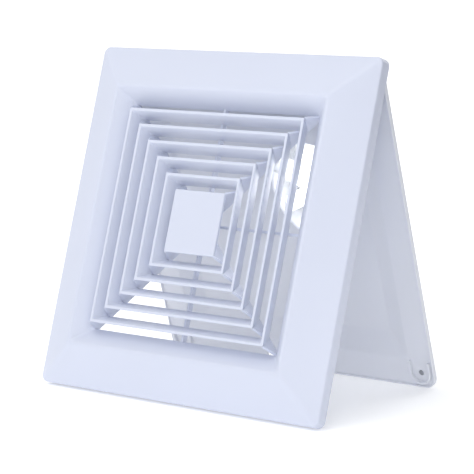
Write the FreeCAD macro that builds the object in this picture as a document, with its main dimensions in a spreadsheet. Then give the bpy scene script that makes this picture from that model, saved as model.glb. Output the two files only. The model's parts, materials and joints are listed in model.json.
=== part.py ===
import FreeCAD, Part
import math
import os
import re
import Sketcher

# Bathroom extractor fan standing on its two lower edges with the louvred cover swung open
# on its top hinge. World frame: +X along the hinge, +Y to the back, +Z up, floor at z = 0.
#
# Two working frames, one for each panel, have their origin at the middle of the panel's
# lower edge: x to the right, y up the panel and z towards the room.
# The cover's z = 0 is the front of its skirt. The back plate's z = 0 is its flange face.

Vector = FreeCAD.Vector
Rotation = FreeCAD.Rotation
Placement = FreeCAD.Placement
doc = FreeCAD.newDocument("extractor_fan")
sheet = doc.addObject("Spreadsheet::Sheet", "sizes")

# name, value in millimetres (degrees where it says angle), meaning
table = [
    ("cover_side", 300, "outside of the square cover"),
    ("cover_skirt", 10, "depth of the cover's side walls"),
    ("cover_wall", 2, "moulding thickness of the cover"),
    ("cover_corner", 6, "radius of the cover's upright corners"),
    ("border_width", 37.5, "cover edge to the inner edge of the border's crest"),
    ("crest_height", 15, "crest of the border above the skirt's front"),
    ("border_drop", 14.2, "how far the border's inner wall goes back, at 45 degrees"),
    ("louvre_gap", 18.5, "crest to the first louvre ring"),
    ("louvre_pitch", 13.44, "from one louvre ring to the next"),
    ("louvre_depth", 14, "front edge to back edge of a louvre"),
    ("louvre_inset", 5.5, "how far a louvre slants inwards over its depth"),
    ("louvre_wall", 2.4, "thickness of a louvre"),
    ("rib_wall", 2, "thickness of the ribs behind the louvres"),
    ("rib_setback", 13, "louvre front to the front of the straight ribs"),
    ("rib_depth", 5, "depth of the straight ribs"),
    ("centre_wall", 3, "thickness of the centre square"),
    ("centre_post", 8, "half the side of the post that joins the centre square to the ribs"),
    ("open_angle", 34, "angle between cover and back plate as it stands"),
    ("hinge_inset", 10, "cover's top edge to the hinge axis"),
    ("hinge_level", 6.5, "hinge axis behind the skirt's front"),
    ("hinge_spacing", 180, "between the two knuckles"),
    ("hinge_play", 1, "hinge axis in front of the flange face"),
    ("knuckle_width", 6, "width of a knuckle of the cover"),
    ("knuckle_radius", 2.8, "radius of knuckles and pin bosses"),
    ("knuckle_side_gap", 0.6, "knuckle to the pin boss beside it"),
    ("boss_length", 5.4, "length of a pin boss"),
    ("pin_radius", 1.5, "radius of the hinge pins"),
    ("running_gap", 0.05, "radial gap of a pin or shaft that turns in its bore"),
    ("peg_spacing", 60, "between the two closing pegs"),
    ("peg_width", 8, "width of a closing peg"),
    ("peg_wall", 2, "thickness of a closing peg"),
    ("peg_height", 13, "cover's lower edge to the middle of a peg"),
    ("peg_reach", 12, "end of a peg behind the skirt's front"),
    ("peg_gap", 1.2, "peg to the edge of its slot"),
    ("plate_gap", 2, "back plate to the inside of the cover's skirt"),
    ("plate_wall", 2.5, "moulding thickness of the back plate"),
    ("plate_corner", 10, "radius of the back plate's corners"),
    ("lip_height", 1.5, "rim of the back plate in front of its flange"),
    ("lip_wall", 1.5, "thickness of that rim"),
    ("flange_width", 25, "plate edge to the sloping step"),
    ("bevel_width", 20, "width of the sloping step"),
    ("recess_depth", 8, "field of the back plate behind its flange"),
    ("fixing_inset", 13.5, "plate edge to a fixing hole"),
    ("fixing_radius", 2.5, "radius of a fixing hole"),
    ("fixing_boss", 10.5, "outside radius of the wall round a fixing hole"),
    ("fixing_wall", 2, "thickness of that wall"),
    ("fixing_height", 3, "height of that wall above the flange"),
    ("post_radius", 7, "radius of the standoff post behind a fixing hole"),
    ("fan_x", 46, "fan axis to the right of the plate's middle"),
    ("fan_y", 170, "fan axis above the plate's lower edge"),
    ("duct_radius", 49, "outside radius of the duct spigot"),
    ("duct_wall", 2, "thickness of the duct spigot"),
    ("opening_lip", 5, "plate's opening inside the spigot's outside"),
    ("duct_length", 46.5, "length of the duct spigot behind the plate"),
    ("duct_stop", 1.5, "step of the spigot that the duct is pushed up to"),
    ("collar_width", 3, "spigot's collar outside its tube"),
    ("collar_wall", 2.5, "thickness of the collar"),
    ("seal_wall", 1, "thickness of the foam ring under the collar"),
    ("ear_offset", 4, "spigot's collar to the middle of an ear"),
    ("ear_radius", 5.5, "radius of an ear of the spigot"),
    ("screw_radius", 1.5, "shank radius of all the screws"),
    ("screw_head", 2.8, "head radius of all the screws"),
    ("screw_head_wall", 1.6, "head thickness of all the screws"),
    ("screw_gap", 0.2, "radial gap round a screw's shank"),
    ("blade_front", 13, "impeller's front behind the flange face"),
    ("blade_depth", 10, "depth of the impeller"),
    ("blade_wall", 1.5, "thickness of a blade"),
    ("blade_angle", 38, "pitch angle of a blade"),
    ("blade_gap", 1.5, "blade tips to the spigot's bore"),
    ("hub_radius", 13, "radius of the impeller's hub"),
    ("hub_wall", 1.6, "thickness of the hub"),
    ("shaft_radius", 2, "radius of the motor shaft"),
    ("nut_radius", 4, "corner radius of the impeller's nut"),
    ("nut_height", 2.4, "height of that nut"),
    ("motor_gap", 1.5, "impeller to the motor"),
    ("motor_radius", 21, "radius of the motor"),
    ("motor_length", 18, "length of the motor"),
    ("shell_wall", 1.5, "thickness of the motor's shells"),
    ("bearing_radius", 5, "outside radius of a bearing"),
    ("bearing_length", 3, "length of a bearing"),
    ("bearing_seat", 1.8, "thickness of the seat round a bearing"),
    ("core_length", 8, "length of the stator and rotor cores"),
    ("rotor_radius", 11, "radius of the rotor core"),
    ("air_gap", 0.5, "rotor to stator"),
    ("coil_radius", 15.5, "middle radius of the winding"),
    ("coil_wall", 4.6, "radial thickness of the winding"),
    ("coil_overhang", 2.2, "winding beyond the stator core"),
    ("coil_bar", 1.2, "radius of the winding's bars in the slots"),
    ("spider_wall", 2, "thickness of the bracket's centre and arms"),
    ("spider_ring", 3.5, "depth of the bracket's outer ring"),
    ("spider_ring_wall", 1.8, "thickness of that ring"),
    ("arm_width", 5, "width of a bracket arm"),
    ("motor_screw_circle", 10, "fan axis to a motor screw"),
    ("flap_gap", 3.5, "motor screws to the flap pin"),
    ("flap_wall", 1, "thickness of a flap"),
    ("flap_clearance", 1.5, "flap to the spigot's bore"),
    ("flap_pin_radius", 1.25, "radius of the flap pin"),
    ("flap_knuckle", 2.2, "radius of a flap's knuckle"),
    ("flap_knuckle_gap", 0.5, "flap to the other flap's knuckle"),
    ("spring_length", 8, "length of the flap spring"),
    ("spring_wire", 0.3, "radius of the spring wire"),
    ("box_gap", 18, "spigot's collar to the terminal box"),
    ("box_width", 68, "width of the terminal box"),
    ("box_height", 74, "height of the terminal box"),
    ("box_depth", 26, "depth of the terminal box"),
    ("box_top", 16, "terminal box above the fan axis"),
    ("box_wall", 2, "thickness of the terminal box and lid"),
    ("lid_post", 3.5, "radius of the posts for the lid screws"),
    ("lid_post_inset", 4.5, "box edge to the middle of a post"),
    ("block_width", 34, "width of the terminal block"),
    ("block_height", 18, "height of the terminal block"),
    ("block_depth", 19, "depth of the terminal block"),
    ("block_gap", 12, "terminal box's right wall to the terminal block"),
    ("terminal_spacing", 10, "from one terminal to the next"),
    ("entry_radius", 3.5, "cable's way through the grommet"),
    ("entry_height", 22, "cable above the terminal box's lower wall"),
    ("grommet_radius", 6.5, "radius of the grommet's neck"),
    ("grommet_flange", 8.5, "radius of the grommet's flanges"),
    ("grommet_wall", 1.5, "thickness of a grommet flange"),
    ("clamp_length", 26, "length of the cable clamp"),
    ("clamp_width", 8, "width of the cable clamp"),
    ("clamp_wall", 2.5, "thickness of the cable clamp"),
    ("clamp_set_in", 8, "box's left wall to the clamp"),
    ("capacitor_radius", 6.5, "radius of the run capacitor"),
    ("capacitor_length", 30, "length of the run capacitor"),
    ("capacitor_rise", 10, "terminal box's lower wall to the capacitor's middle"),
    ("lead_radius", 1.75, "radius of the motor lead"),
    ("lead_back", 5.5, "motor's front to the lead"),
    ("lead_margin", 1.5, "lead to the end of the spigot's step"),
    ("drive_reach", 1.6, "half the length of a screw's cross slot"),
    ("drive_half", 0.35, "half the width of that slot"),
    ("screw_short", 0.3, "screw tip short of the plate's front"),
    ("seal_edge", 0.3, "foam ring inside the collar's edge"),
    ("shaft_short", 0.3, "shaft's rear end inside the motor's back"),
    ("shaft_past_nut", 0.4, "shaft's front end past the nut"),
    ("capacitor_gap", 9, "terminal box's right wall to the capacitor"),
    ("lid_screw_grip", 7, "lid screw into its post"),
    ("terminal_hole", 2.2, "radius of a terminal's hole and screw"),
    ("terminal_hole_depth", 6, "depth of a terminal's hole"),
    ("terminal_screw_depth", 2, "terminal screw's head below the block's face"),
    ("clamp_screw_inset", 4.5, "clamp's end to its screw"),
    ("clamp_screw_grip", 4, "clamp screw into its saddle"),
]
louvre_count = 5
blade_count = 7
arm_count = 3
slot_count = 6

for row, (alias, number, meaning) in enumerate(table, 1):
    sheet.set(f"A{row}", alias)
    sheet.set(f"B{row}", str(number))
    sheet.set(f"C{row}", meaning)
    sheet.setAlias(f"B{row}", alias)
doc.recompute()
size = {alias: float(number) for alias, number, meaning in table}


# ---- values that follow from the sizes, as formulas of the sheet's names ----

cover_half = "(cover_side / 2)"
crest_half = "(cover_side / 2 - border_width)"
crest_out = "(cover_side / 2 - border_width + cover_wall * sqrt(2))"
foot_half = "(cover_side / 2 - border_width - border_drop)"
foot_level = "(crest_height - border_drop)"
skirt_inside = "(cover_side / 2 - cover_wall)"
border_run = f"({cover_half} - {crest_out})"
slope_wall = f"(cover_wall * sqrt(1 + (crest_height / {border_run})^2))"
hinge_cover_y = "(cover_side - hinge_inset)"
plate_side = "(cover_side - 2 * cover_wall - 2 * plate_gap)"
plate_half = f"({plate_side} / 2)"
plate_inset = "(cover_wall + plate_gap)"
hinge_plate_y = f"({hinge_cover_y} - {plate_inset})"
step_half = f"({plate_half} - flange_width)"
field_half = f"({plate_half} - flange_width - bevel_width)"
back_level = "(-(recess_depth + plate_wall))"
duct_bore = "(duct_radius - duct_wall)"
opening_radius = "(duct_radius - opening_lip)"
ear_circle = "(duct_radius + collar_width + ear_offset)"
duct_end = f"({back_level} - duct_length)"
motor_front = "(-(blade_front + blade_depth + motor_gap))"
motor_back = f"({motor_front} - motor_length)"
motor_middle = f"({motor_front} - motor_length / 2)"
spider_back = f"({motor_back} - spider_wall)"
flap_level = f"({spider_back} - screw_head_wall - flap_gap)"
box_right = "(fan_x - duct_radius - collar_width - box_gap)"
box_left = f"({box_right} - box_width)"
box_high = "(fan_y + box_top)"
box_low = f"({box_high} - box_height)"
box_floor = f"({back_level} - box_wall)"
box_back = f"({back_level} - box_depth)"
lead_level = f"({motor_front} - lead_back)"
block_right = f"({box_right} - block_gap)"
block_left = f"({block_right} - block_width)"
entry_y = f"({box_low} + entry_height)"
entry_z = f"({back_level} - box_depth / 2)"
clamp_x = f"({box_left} + box_wall + clamp_set_in + clamp_width / 2)"
saddle_level = f"({entry_z} + entry_radius)"


# ---- helpers that make bound objects in a panel's frame ----

def linked(formula):
    """Point every size name in a formula at its cell."""
    def cell(word):
        return "sizes." + word.group() if word.group() in size else word.group()
    return re.sub(r"[a-z]\w+", cell, str(formula))


def bind(thing, **formulas):
    for name, formula in formulas.items():
        thing.setExpression(name.replace("__", "."), linked(formula))
    return thing


def block(name, x_from, x_to, y_from, y_to, z_from, z_to):
    box = doc.addObject("Part::Box", name)
    return bind(box, Length=f"({x_to}) - ({x_from})", Width=f"({y_to}) - ({y_from})",
                Height=f"({z_to}) - ({z_from})", Placement__Base__x=x_from,
                Placement__Base__y=y_from, Placement__Base__z=z_from)


def rod(name, x, y, z_from, z_to, radius):
    cylinder = doc.addObject("Part::Cylinder", name)
    return bind(cylinder, Radius=radius, Height=f"({z_to}) - ({z_from})",
                Placement__Base__x=x, Placement__Base__y=y, Placement__Base__z=z_from)


def rod_along_x(name, x_from, x_to, y, z, radius):
    cylinder = doc.addObject("Part::Cylinder", name)
    cylinder.Placement.Rotation = Rotation(Vector(0, 1, 0), 90)
    return bind(cylinder, Radius=radius, Height=f"({x_to}) - ({x_from})",
                Placement__Base__x=x_from, Placement__Base__y=y, Placement__Base__z=z)


def rod_along_y(name, x, y_from, y_to, z, radius):
    cylinder = doc.addObject("Part::Cylinder", name)
    cylinder.Placement.Rotation = Rotation(Vector(1, 0, 0), -90)
    return bind(cylinder, Radius=radius, Height=f"({y_to}) - ({y_from})",
                Placement__Base__x=x, Placement__Base__y=y_from, Placement__Base__z=z)


def frustum(name, middle, low_half, z_from, high_half, z_to):
    """A square pyramid stump about the panel's middle, from its lower level to its upper one."""
    wedge = doc.addObject("Part::Wedge", name)
    wedge.Placement.Rotation = Rotation(Vector(1, 0, 0), 90)
    return bind(wedge, Ymin=z_from, Ymax=z_to, Placement__Base__y=middle,
                Xmin=f"-{low_half}", Xmax=low_half, Zmin=f"-{low_half}", Zmax=low_half,
                X2min=f"-{high_half}", X2max=high_half, Z2min=f"-{high_half}", Z2max=high_half)


def fused(name, parts):
    whole = doc.addObject("Part::MultiFuse", name)
    whole.Shapes = parts
    whole.Refine = True
    return whole


def cut(name, base, tool):
    result = doc.addObject("Part::Cut", name)
    result.Base, result.Tool = base, tool
    return result


def common(name, first, second):
    result = doc.addObject("Part::MultiCommon", name)
    result.Shapes = [first, second]
    return result


def outline(body, name, plane, corners, offset="0"):
    """A closed sketch of straight lines whose corners are all bound to formulas."""
    sketch = body.newObject("Sketcher::SketchObject", name)
    origin_plane = next(item for item in body.Origin.OriginFeatures if item.Role == plane)
    sketch.AttachmentSupport = [(origin_plane, "")]
    sketch.MapMode = "FlatFace"
    sketch.setExpression("AttachmentOffset.Base.z", linked(offset))
    count = len(corners)
    start = [Vector(10 * math.cos(2 * math.pi * n / count), 10 * math.sin(2 * math.pi * n / count), 0)
             for n in range(count)]
    for n in range(count):
        sketch.addGeometry(Part.LineSegment(start[n], start[(n + 1) % count]))
    for n in range(count):
        sketch.addConstraint(Sketcher.Constraint("Coincident", n, 2, (n + 1) % count, 1))
    for n, corner in enumerate(corners):
        for kind, formula, first in zip(("DistanceX", "DistanceY"), corner, (start[n].x, start[n].y)):
            index = sketch.addConstraint(Sketcher.Constraint(kind, -1, 1, n, 1, first))
            sketch.setExpression(f"Constraints[{index}]", linked(formula))
    return sketch


def rounded_slab(name, half, middle, z_from, z_to, corner):
    """A square slab with rounded upright corners."""
    body = doc.addObject("PartDesign::Body", name)
    corners = [(f"-({half})", f"({middle}) - ({half})"), (half, f"({middle}) - ({half})"),
               (half, f"({middle}) + ({half})"), (f"-({half})", f"({middle}) + ({half})")]
    sketch = outline(body, name + "_outline", "XY_Plane", corners, z_from)
    pad = body.newObject("PartDesign::Pad", name + "_pad")
    pad.Profile = sketch
    bind(pad, Length=f"({z_to}) - ({z_from})")
    doc.recompute()
    upright = [f"Edge{n}" for n, edge in enumerate(pad.Shape.Edges, 1)
               if abs(edge.tangentAt(edge.FirstParameter).z) > 0.99]
    rounding = body.newObject("PartDesign::Fillet", name + "_corners")
    rounding.Base = (pad, upright)
    bind(rounding, Radius=corner)
    return body


def turned(name, profile, x="fan_x", y="fan_y"):
    """A body of revolution about an axis along z, from (radius, level) corners."""
    body = doc.addObject("PartDesign::Body", name)
    sketch = outline(body, name + "_profile", "XZ_Plane", profile)
    revolution = body.newObject("PartDesign::Revolution", name + "_turned")
    revolution.Profile = sketch
    revolution.ReferenceAxis = (sketch, ["V_Axis"])
    revolution.Angle = 360
    return bind(body, Placement__Base__x=x, Placement__Base__y=y)


def tube(name, inner, outer, z_from, z_to, x="fan_x", y="fan_y"):
    return turned(name, [(inner, z_from), (outer, z_from), (outer, z_to), (inner, z_to)], x, y)


def screws(name, places, z_under_head, z_tip):
    """Round-headed screws that point towards the room, all one kind."""
    pieces = []
    for n, (x, y) in enumerate(places):
        head = rod(f"{name}_head_{n}", x, y, f"{z_under_head} - screw_head_wall", z_under_head, "screw_head")
        shank = rod(f"{name}_shank_{n}", x, y, z_under_head, z_tip, "screw_radius")
        drive_a = block(f"{name}_drive_a_{n}", f"{x} - drive_reach", f"{x} + drive_reach", f"{y} - drive_half",
                        f"{y} + drive_half", f"{z_under_head} - screw_head_wall",
                        f"{z_under_head} - screw_head_wall / 2")
        drive_b = block(f"{name}_drive_b_{n}", f"{x} - drive_half", f"{x} + drive_half", f"{y} - drive_reach",
                        f"{y} + drive_reach", f"{z_under_head} - screw_head_wall",
                        f"{z_under_head} - screw_head_wall / 2")
        solid = fused(f"{name}_solid_{n}", [head, shank])
        pieces.append(cut(f"{name}_piece_{n}", solid, fused(f"{name}_drive_{n}", [drive_a, drive_b])))
    return gathered(name, pieces)


def gathered(name, pieces):
    """Several equal pieces that share one node."""
    group = doc.addObject("Part::Compound", name)
    group.Links = pieces
    return group


def around(radius, count, first=0):
    """Places on a circle round the fan axis, as formulas."""
    turns = [first + 360 / count * n for n in range(count)]
    return [(f"(fan_x + {radius} * {math.cos(math.radians(a)):.9f})",
             f"(fan_y + {radius} * {math.sin(math.radians(a)):.9f})") for a in turns]


nodes = {}


def cover_part(label, thing):
    thing.Label = label
    nodes[label] = (thing, "cover")


def plate_part(label, thing):
    thing.Label = label
    nodes[label] = (thing, "plate")


# ---- louvred cover ----

def cover_frame():
    block_outside = rounded_slab("cover_block", cover_half, cover_half, "-cover_skirt", "crest_height",
                                 "cover_corner")
    skirt = block("cover_skirt_block", f"-{cover_half}", cover_half, "0", "cover_side", "-cover_skirt", "0")
    slope = frustum("cover_slope", cover_half, cover_half, "0", crest_out, "crest_height")
    outside = common("cover_outside", fused("cover_square", [skirt, slope]), block_outside)
    slope_start = f"(cover_wall * crest_height / {border_run} - {slope_wall})"
    hollow = fused("cover_hollow", [
        block("cover_hollow_skirt", f"-{skirt_inside}", skirt_inside, "cover_wall",
              "cover_side - cover_wall", "-cover_skirt", slope_start),
        frustum("cover_hollow_slope", cover_half, skirt_inside, slope_start, crest_out,
                f"crest_height - {slope_wall}")])
    wall_out = frustum("border_wall_outside", cover_half, f"({foot_half} + cover_wall * sqrt(2))", foot_level,
                       crest_out, "crest_height")
    wall_in = frustum("border_wall_inside", cover_half, foot_half, foot_level, crest_half, "crest_height")
    pieces = [cut("border_slope", outside, fused("cover_inside", [hollow, wall_out])),
              cut("border_inner_wall", wall_out, wall_in)]
    bores = []
    for side in (-1, 1):
        x = f"({side} * hinge_spacing / 2)"
        tag = "left" if side < 0 else "right"
        knuckle = rod_along_x(f"knuckle_{tag}", f"{x} - knuckle_width / 2", f"{x} + knuckle_width / 2",
                              hinge_cover_y, "-hinge_level", "knuckle_radius")
        arm = block(f"knuckle_arm_{tag}", f"{x} - knuckle_width / 2", f"{x} + knuckle_width / 2",
                    hinge_cover_y, "cover_side - cover_wall / 2", "-hinge_level - knuckle_radius",
                    "-hinge_level + knuckle_radius")
        bores.append(rod_along_x(f"knuckle_bore_{tag}", f"{x} - knuckle_width", f"{x} + knuckle_width",
                                 hinge_cover_y, "-hinge_level", "pin_radius + running_gap"))
        peg_x = f"({side} * peg_spacing / 2)"
        peg = block(f"peg_block_{tag}", f"{peg_x} - peg_width / 2", f"{peg_x} + peg_width / 2",
                    "peg_height - peg_wall / 2", "peg_height + peg_wall / 2", "-peg_reach", "crest_height")
        under = fused(f"peg_room_{tag}", [slope_copy(f"peg_slope_{tag}"),
                                          block(f"peg_skirt_{tag}", f"-{cover_half}", cover_half, "0",
                                                "cover_side", "-peg_reach", "0")])
        pieces += [knuckle, arm, common(f"peg_{tag}", peg, under)]
    return cut("cover_frame_shape", fused("cover_frame_solid", pieces), fused("knuckle_bores", bores))


def slope_copy(name):
    return frustum(name, cover_half, cover_half, "0", crest_out, "crest_height")


def louvre_core():
    """Square louvre rings, straight ribs behind them and saw-toothed webs in the corners."""
    rib_front = "(crest_height - rib_setback)"
    rib_back = f"({rib_front} - rib_depth)"
    back = "(crest_height - louvre_depth)"
    thickness = "louvre_wall * sqrt(1 + (louvre_inset / louvre_depth)^2)"
    halves = [f"({crest_half} - louvre_gap - {n} * louvre_pitch)" for n in range(louvre_count + 1)]
    pieces, webs = [], []
    web_foot, web_level = foot_half, foot_level
    for n, half in enumerate(halves[:-1]):
        inner = f"({half} - {thickness})"
        outside = frustum(f"louvre_out_{n}", cover_half, f"({half} - louvre_inset)", back, half, "crest_height")
        inside = frustum(f"louvre_in_{n}", cover_half, f"({inner} - louvre_inset)", back, inner, "crest_height")
        pieces.append(cut(f"louvre_{n}", outside, inside))
        slope = frustum(f"web_slope_{n}", cover_half, web_foot, web_level, half, "crest_height")
        webs.append(cut(f"web_{n}", slope, outside))
        web_foot, web_level = f"({inner} - louvre_inset)", back
    centre = halves[-1]
    centre_low, centre_high = f"{cover_half} - {centre}", f"{cover_half} + {centre}"
    pieces.append(block("centre_square", f"-{centre}", centre, centre_low, centre_high,
                        "crest_height - centre_wall", "crest_height"))
    pieces.append(block("centre_square_post", "-centre_post", "centre_post", f"{cover_half} - centre_post",
                        f"{cover_half} + centre_post", rib_back, "crest_height"))
    centre_slope = frustum("web_slope_centre", cover_half, web_foot, web_level, centre, "crest_height")
    webs.append(cut("web_centre", centre_slope, block("centre_square_room", f"-{centre}", centre, centre_low,
                                                      centre_high, back, "crest_height")))
    ribs, diagonals = [], []
    for n in range(4):
        turn = math.radians(45 * n)
        across, along = f"{math.sin(turn):.9f}", f"{math.cos(turn):.9f}"
        for name, group, front in (("rib", ribs, rib_front), ("diagonal", diagonals, "crest_height")):
            if name == "diagonal" and n % 2 == 0:
                continue
            rib = doc.addObject("Part::Box", f"{name}_{n}")
            rib.Placement.Rotation = Rotation(Vector(0, 0, 1), 45 * n)
            group.append(bind(rib, Length="cover_side * 1.5", Width="rib_wall", Height=f"{front} - {rib_back}",
                              Placement__Base__x=f"-cover_side * 0.75 * {along} + rib_wall / 2 * {across}",
                              Placement__Base__y=f"{cover_half} - cover_side * 0.75 * {across}"
                                                 f" - rib_wall / 2 * {along}",
                              Placement__Base__z=rib_back))
    rib_end = f"({foot_half} + cover_wall * sqrt(2))"
    room = fused("louvre_room", [
        frustum("louvre_room_front", cover_half, foot_half, foot_level, crest_half, "crest_height"),
        block("louvre_room_back", f"-{rib_end}", rib_end, f"{cover_half} - {rib_end}",
              f"{cover_half} + {rib_end}", rib_back, foot_level)])
    pieces.append(common("ribs_trimmed", fused("ribs", ribs), room))
    pieces.append(common("webs_trimmed", fused("webs", webs), fused("diagonals", diagonals)))
    return fused("louvre_core_shape", pieces)


# ---- back plate and hinge pins ----

def corner_places():
    across = f"({plate_half} - fixing_inset)"
    return [(f"({x} * {across})", f"({plate_half} + {y} * {across})", f"{x}_{y}".replace("-", "m"), y)
            for x in (-1, 1) for y in (-1, 1)]


def back_plate():
    lip_half = f"({plate_half} - lip_wall)"
    tray = cut("plate_tray", rounded_slab("plate_slab", plate_half, plate_half, "-plate_wall", "lip_height",
                                          "plate_corner"),
               rounded_slab("plate_lip_room", lip_half, plate_half, "0", "lip_height + 1",
                            "plate_corner - lip_wall"))
    solids = [tray, frustum("plate_recess_back", plate_half, field_half, back_level, step_half, "-plate_wall")]
    cuts = [frustum("plate_recess", plate_half, field_half, "-recess_depth", step_half, "0"),
            rod("plate_opening", "fan_x", "fan_y", f"{back_level} - 1", "1", opening_radius)]
    for x, y, tag, side in corner_places():
        solids.append(rod(f"post_{tag}", x, y, back_level, "-plate_wall / 2", "post_radius"))
        leg_end = "(flange_width - fixing_wall / 2)"
        low, high = (y, leg_end) if side < 0 else (f"({plate_side} - {leg_end})", y)
        wall = fused(f"boss_outside_{tag}", [
            rod(f"boss_round_{tag}", x, y, "-plate_wall / 2", "fixing_height", "fixing_boss"),
            block(f"boss_leg_{tag}", f"{x} - fixing_boss", f"{x} + fixing_boss", low, high, "-plate_wall / 2",
                  "fixing_height")])
        inner = "(fixing_boss - fixing_wall)"
        room = fused(f"boss_inside_{tag}", [
            rod(f"boss_room_{tag}", x, y, "0", "fixing_height + 1", inner),
            block(f"boss_room_leg_{tag}", f"{x} - {inner}", f"{x} + {inner}", low, high, "0",
                  "fixing_height + 1")])
        solids.append(cut(f"boss_{tag}", wall, room))
        cuts.append(rod(f"fixing_hole_{tag}", x, y, f"{back_level} - 1", "1", "fixing_radius"))
    notch_half = "(knuckle_width / 2 + knuckle_side_gap)"
    for side in (-1, 1):
        x = f"({side} * hinge_spacing / 2)"
        tag = "left" if side < 0 else "right"
        solids.append(block(f"pin_boss_{tag}", f"{x} - {notch_half} - boss_length",
                            f"{x} + {notch_half} + boss_length", f"{hinge_plate_y} - knuckle_radius",
                            f"{hinge_plate_y} + knuckle_radius", "-plate_wall / 2",
                            "hinge_play + knuckle_radius"))
        cuts.append(block(f"hinge_notch_{tag}", f"{x} - {notch_half}", f"{x} + {notch_half}",
                          f"{hinge_plate_y} - knuckle_radius - cover_wall", f"{plate_side} + 1",
                          "-plate_wall - 1", "lip_height + knuckle_radius + 1"))
        cuts.append(rod_along_x(f"pin_bore_{tag}", f"{x} - {notch_half} - boss_length",
                                f"{x} + {notch_half} + boss_length", hinge_plate_y, "hinge_play",
                                "pin_radius"))
        peg_x = f"({side} * peg_spacing / 2)"
        peg_y = f"(peg_height - {plate_inset})"
        cuts.append(block(f"peg_slot_{tag}", f"{peg_x} - peg_width / 2 - peg_gap",
                          f"{peg_x} + peg_width / 2 + peg_gap", f"{peg_y} - peg_wall / 2 - peg_gap",
                          f"{peg_y} + peg_wall / 2 + peg_gap", "-plate_wall - 1", "1"))
    cuts += [rod(f"plate_screw_hole_{n}", x, y, f"{back_level} - 1", "0", "screw_radius")
             for n, (x, y) in enumerate(around(ear_circle, 4, 45) + box_screw_places())]
    return cut("back_plate_shape", fused("plate_solid", solids), fused("plate_cuts", cuts))


def hinge_pins():
    length = "(knuckle_width / 2 + knuckle_side_gap + boss_length)"
    return gathered("hinge_pins_pair", [
        rod_along_x(f"pin_{side}", f"{side} * hinge_spacing / 2 - {length}",
                    f"{side} * hinge_spacing / 2 + {length}", hinge_plate_y, "hinge_play", "pin_radius")
        for side in ("-1", "1")])


# ---- duct spigot ----

def duct_spigot():
    collar_back = f"({back_level} - seal_wall - collar_wall)"
    bore, out = duct_bore, "duct_radius"
    ledge_top = f"({spider_back} + spider_wall - spider_ring)"
    stop_level = f"({lead_level} - lead_radius - lead_margin)"
    ring = turned("spigot_ring", [
        (bore, f"{back_level} - seal_wall"), (f"{out} + collar_width", f"{back_level} - seal_wall"),
        (f"{out} + collar_width", collar_back), (f"{out} + duct_stop", collar_back),
        (f"{out} + duct_stop", stop_level), (out, stop_level), (out, duct_end), (bore, duct_end),
        (bore, f"{ledge_top} - flap_wall"), (f"{bore} - spider_ring_wall", f"{ledge_top} - flap_wall"),
        (f"{bore} - spider_ring_wall", ledge_top), (bore, ledge_top)])
    solids, cuts = [ring], []
    for n, (x, y) in enumerate(around(ear_circle, 4, 45)):
        solids.append(rod(f"ear_{n}", x, y, collar_back, back_level, "ear_radius"))
        cuts.append(rod(f"ear_hole_{n}", x, y, f"{collar_back} - 1", f"{back_level} + 1",
                        "screw_radius + screw_gap"))
    inner = rod("spigot_room", "fan_x", "fan_y", f"{collar_back}", f"{back_level}", "duct_radius + collar_width")
    cuts.append(rod_along_x("lead_hole_spigot", "fan_x - duct_radius - duct_stop - 1", f"fan_x - {bore} + 1",
                            "fan_y", lead_level, "lead_radius + screw_gap"))
    cuts.append(rod_along_y("flap_pin_bore", "fan_x", f"fan_y - {bore} - duct_wall * 0.75",
                            f"fan_y + {bore} + duct_wall * 0.75", flap_level, "flap_pin_radius"))
    ears = cut("ears_outside_seal", fused("ears", solids[1:]), inner)
    return cut("duct_spigot_shape", fused("spigot_solid", [ring, ears]), fused("spigot_cuts", cuts))


def spigot_seal():
    return tube("spigot_seal_ring", duct_bore, "duct_radius + collar_width - seal_edge",
                f"{back_level} - seal_wall", back_level)


# ---- impeller, shaft and motor ----

def impeller():
    front, back = "(-blade_front)", "(-blade_front - blade_depth)"
    hub = turned("impeller_hub", [
        ("shaft_radius", front), ("hub_radius", front), ("hub_radius", back),
        ("hub_radius - hub_wall", back), ("hub_radius - hub_wall", f"{front} - 2 * hub_wall"),
        ("shaft_radius + 2 * hub_wall", f"{front} - 2 * hub_wall"), ("shaft_radius + 2 * hub_wall", back),
        ("shaft_radius", back)])
    tip = f"({duct_bore} - blade_gap)"
    blades = []
    for n in range(blade_count):
        turn = 360 / blade_count * n
        blade = doc.addObject("Part::Box", f"blade_{n}")
        blade.Placement.Rotation = Rotation(Vector(0, 0, 1), turn) * Rotation(Vector(1, 0, 0),
                                                                            size["blade_angle"])
        blades.append(bind(blade, Length="duct_radius", Width="4 * blade_depth", Height="blade_wall"))
        corner = blade.Placement.Rotation.multVec(Vector(0, -2 * size["blade_depth"], -size["blade_wall"] / 2))
        bind(blade, Placement__Base__x=f"fan_x + {corner.x:.9f}", Placement__Base__y=f"fan_y + {corner.y:.9f}",
             Placement__Base__z=f"{front} - blade_depth / 2 + {corner.z:.9f}")
    room = tube("blade_room", "hub_radius - hub_wall / 2", tip, f"{back} + 0.5", f"{front} - 0.5")
    return fused("impeller_shape", [hub, common("blades_trimmed", fused("blades", blades), room)])


def impeller_nut():
    nut = doc.addObject("Part::Prism", "impeller_nut_prism")
    nut.Polygon = 6
    bind(nut, Circumradius="nut_radius", Height="nut_height", Placement__Base__x="fan_x",
         Placement__Base__y="fan_y", Placement__Base__z="-blade_front")
    return cut("impeller_nut_shape", nut, rod("nut_bore", "fan_x", "fan_y", "-blade_front", "0", "shaft_radius"))


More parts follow.
